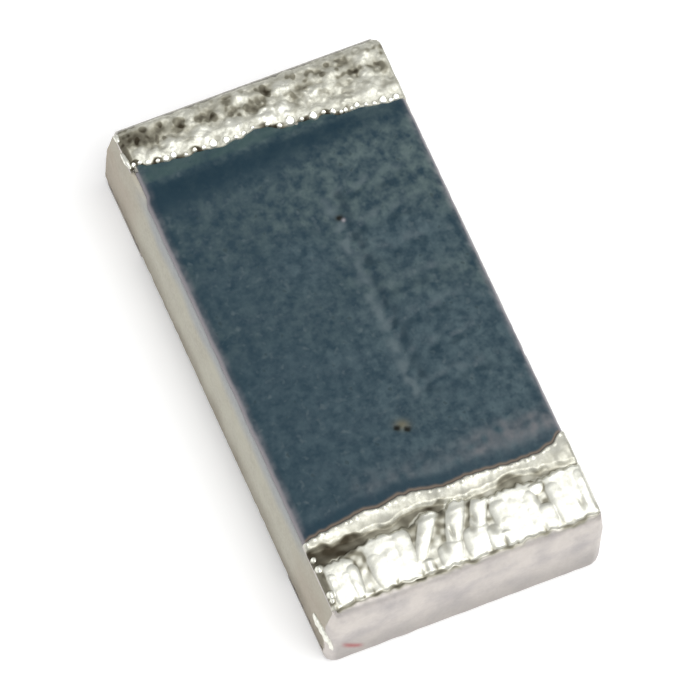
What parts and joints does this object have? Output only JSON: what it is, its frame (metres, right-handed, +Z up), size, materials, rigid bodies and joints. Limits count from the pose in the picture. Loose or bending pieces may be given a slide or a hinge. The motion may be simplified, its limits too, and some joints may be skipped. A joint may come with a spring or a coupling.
{
  "type": "smd chip resistor",
  "caption": "Flat ceramic chip resistor with a trimmed resistive film under a grey-blue coat and tin-plated terminals wrapped round both ends, for surface mounting.",
  "frame": {"origin": "middle of the plane that the two solder pads rest on", "axes": "+X along the chip towards the end with the plated strip, +Y across it towards the trimmed side, +Z up from the solder side to the coat"},
  "size_m": [0.0032, 0.0016, 0.0006],
  "materials": {
    "alumina": "matte, fired and unglazed",
    "printed_silver": "matte fired silver",
    "resistive_glaze": "matte black fired film",
    "glass_glaze": "thin fired glass",
    "blue_overcoat": "grey-blue resin with a fine grain",
    "edge_silver": "matte silver paste",
    "nickel": "plated nickel",
    "tin": "satin plated tin with a lumpy top"
  },
  "bodies": {
    "root": {"ceramic_substrate": "alumina", "top_electrode_left": "printed_silver", "top_electrode_right": "printed_silver", "bottom_electrode_left": "printed_silver", "bottom_electrode_right": "printed_silver", "resistive_film": "resistive_glaze", "glass_coat": "glass_glaze", "overcoat": "blue_overcoat", "edge_electrode_left": "edge_silver", "edge_electrode_right": "edge_silver", "nickel_barrier_left": "nickel", "nickel_barrier_right": "nickel", "tin_plating_left": "tin", "tin_plating_right": "tin"}
  },
  "joints": []
}
